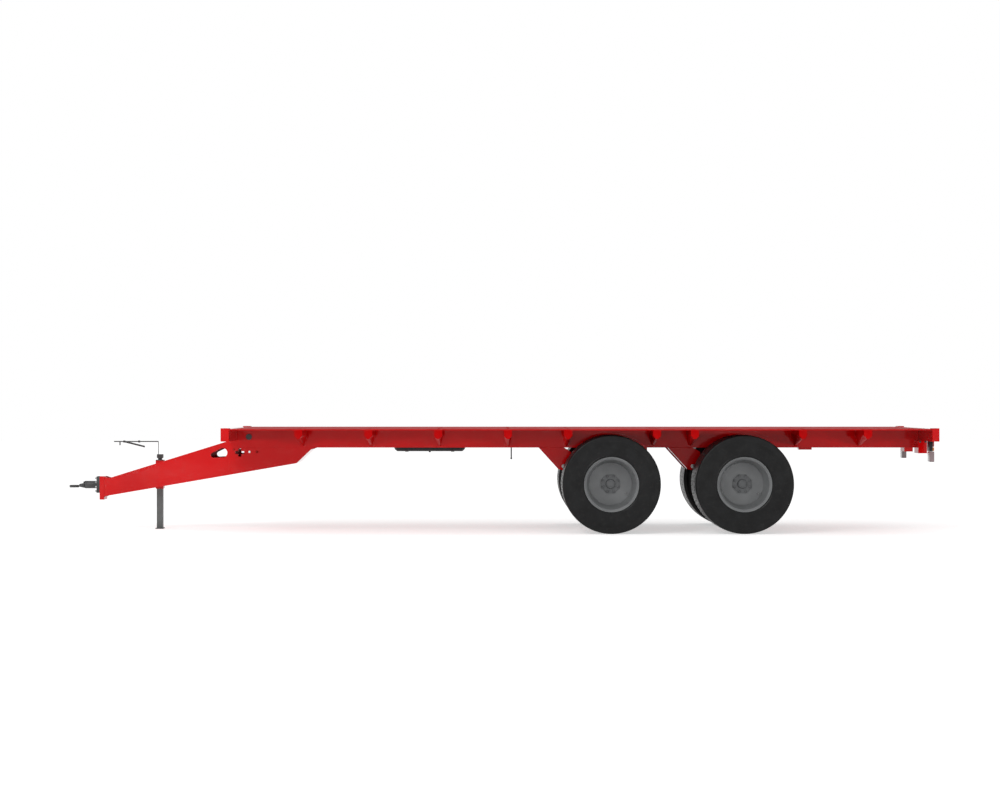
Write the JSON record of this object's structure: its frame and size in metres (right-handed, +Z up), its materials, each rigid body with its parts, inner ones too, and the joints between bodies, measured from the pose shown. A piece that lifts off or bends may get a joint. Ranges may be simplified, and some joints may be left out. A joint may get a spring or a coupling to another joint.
{
  "type": "hay wagon",
  "caption": "Flat-deck hay wagon on a tandem of wide tyres, with a cranked drawbar, a swivelling tow eye, a sliding parking leg and stake pockets at both ends.",
  "frame": {"origin": "on the ground, at the centre of the footprint from the tow eye to the rear beam", "axes": "+X to the rear, +Y to the right-hand side, +Z up"},
  "size_m": [10.84, 2.55, 1.294],
  "materials": {
    "red_paint": "gloss",
    "red_floor": "semi-gloss, lightly rubbed",
    "rim_grey": "satin",
    "hub_grey": "satin",
    "dark_steel": "dark satin",
    "leg_zinc": "dull zinc",
    "running_gear": "satin black",
    "black_parts": "semi-gloss black",
    "lamp": "gloss",
    "tyre": "matt"
  },
  "bodies": {
    "frame": {"main_beam_left": "red_paint", "main_beam_right": "red_paint", "front_beam": "red_paint", "rear_beam": "red_paint", "cross_members": "red_paint", "cross_pipe": "dark_steel", "outriggers_left": "red_paint", "outriggers_right": "red_paint", "floor_front": "red_floor", "floor_mid_front": "red_floor", "floor_mid_rear": "red_floor", "floor_rear": "red_floor", "edge_bar_left": "red_paint", "edge_bar_right": "red_paint", "drawbar_side_left": "red_paint", "drawbar_side_right": "red_paint", "drawbar_plates": "red_paint", "nose_plate": "red_paint", "tow_flange": "dark_steel", "leg_sleeve": "red_paint", "jack_head": "dark_steel", "hose_holder": "dark_steel", "air_tank": "black_parts", "tank_straps": "black_parts", "brake_valve": "black_parts", "hangers_left": "red_paint", "hangers_right": "red_paint", "slippers_left": "red_paint", "slippers_right": "red_paint", "leaf_springs_left": "running_gear", "leaf_springs_right": "running_gear", "spring_clamps": "running_gear", "axle_front": "running_gear", "axle_rear": "running_gear", "brake_chambers": "black_parts", "rear_brackets": "red_paint", "rear_lamp_left": "lamp", "rear_lamp_right": "lamp"},
    "wheel_front_left": {"tyre_front_left": "tyre", "rim_front_left": "rim_grey", "hub_front_left": "hub_grey"},
    "wheel_front_right": {"tyre_front_right": "tyre", "rim_front_right": "rim_grey", "hub_front_right": "hub_grey"},
    "wheel_rear_left": {"tyre_rear_left": "tyre", "rim_rear_left": "rim_grey", "hub_rear_left": "hub_grey"},
    "wheel_rear_right": {"tyre_rear_right": "tyre", "rim_rear_right": "rim_grey", "hub_rear_right": "hub_grey"},
    "parking_leg": {"leg_tube": "leg_zinc", "leg_foot": "leg_zinc"},
    "tow_eye": {"tow_eye": "dark_steel"}
  },
  "joints": [
    {"name": "wheel_front_left_spin", "type": "hinge", "parent": "frame", "child": "wheel_front_left", "pos_m": [1.429, -0.9, 0.605], "axis": [0, 1, 0], "continuous": true},
    {"name": "wheel_front_right_spin", "type": "hinge", "parent": "frame", "child": "wheel_front_right", "pos_m": [1.429, 0.9, 0.605], "axis": [0, 1, 0], "continuous": true},
    {"name": "wheel_rear_left_spin", "type": "hinge", "parent": "frame", "child": "wheel_rear_left", "pos_m": [3.055, -0.9, 0.605], "axis": [0, 1, 0], "continuous": true},
    {"name": "wheel_rear_right_spin", "type": "hinge", "parent": "frame", "child": "wheel_rear_right", "pos_m": [3.055, 0.9, 0.605], "axis": [0, 1, 0], "continuous": true},
    {"name": "parking_leg_slide", "type": "slide", "parent": "frame", "child": "parking_leg", "axis": [0, 0, 1], "range_m": [0, 0.3]},
    {"name": "tow_eye_swivel", "type": "hinge", "parent": "frame", "child": "tow_eye", "pos_m": [-5.2, 0, 0.561], "axis": [1, 0, 0], "continuous": true}
  ]
}
